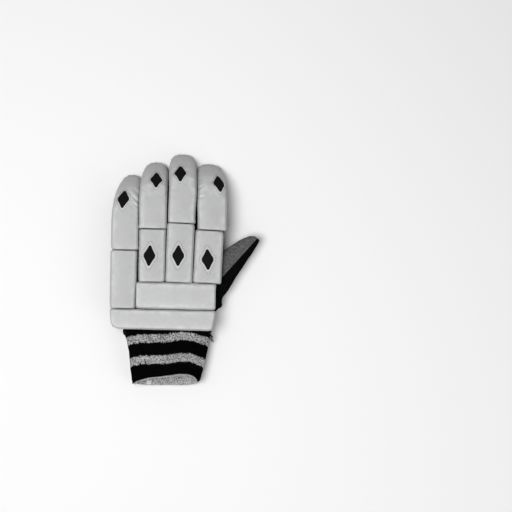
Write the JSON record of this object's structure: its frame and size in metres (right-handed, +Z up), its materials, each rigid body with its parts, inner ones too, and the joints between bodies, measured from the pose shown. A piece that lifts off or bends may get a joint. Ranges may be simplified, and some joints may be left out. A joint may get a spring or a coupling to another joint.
{
  "type": "cricket batting glove",
  "caption": "Left-hand batting glove lying palm down: padded leather rolls over a hollow suede and mesh hand, side thumb, striped knit cuff, wrist strap and pull loop.",
  "frame": {"origin": "on the surface that it lies on, under the middle of its outline", "axes": "+X from the little finger to the thumb, +Y from the cuff to the fingertips, +Z up, from the palm to the back of the hand"},
  "size_m": [0.182, 0.2826, 0.0485],
  "materials": {
    "leather": "pale grained leather over padding",
    "inlay": "black leather, recessed",
    "suede": "grey suede",
    "mesh": "black mesh cloth",
    "knit": "black and grey striped knit",
    "lining": "light grey terry",
    "strap": "pale leather, stitched"
  },
  "bodies": {
    "root": {"little_tip_roll": "leather", "little_tip_lozenge": "inlay", "ring_tip_roll": "leather", "ring_tip_lozenge": "inlay", "middle_tip_roll": "leather", "middle_tip_lozenge": "inlay", "index_tip_roll": "leather", "index_tip_lozenge": "inlay", "little_knuckle_roll": "leather", "ring_knuckle_roll": "leather", "ring_knuckle_lozenge": "inlay", "middle_knuckle_roll": "leather", "middle_knuckle_lozenge": "inlay", "index_knuckle_roll": "leather", "index_knuckle_lozenge": "inlay", "hand_bar": "leather", "wrist_bar": "leather", "thumb_suede": "suede", "thumb_gusset": "mesh", "thumb_tip_pad": "leather", "thumb_tip_lozenge": "inlay", "thumb_base_pad": "leather", "palm_leather": "suede", "little_finger_suede": "suede", "ring_finger_suede": "suede", "middle_finger_suede": "suede", "index_finger_suede": "suede", "back_lining": "mesh", "little_finger_mesh": "mesh", "ring_finger_mesh": "mesh", "middle_finger_mesh": "mesh", "index_finger_mesh": "mesh", "knit_cuff": "knit", "cuff_lining": "lining", "wrist_strap": "strap", "pull_loop": "strap"}
  },
  "joints": []
}
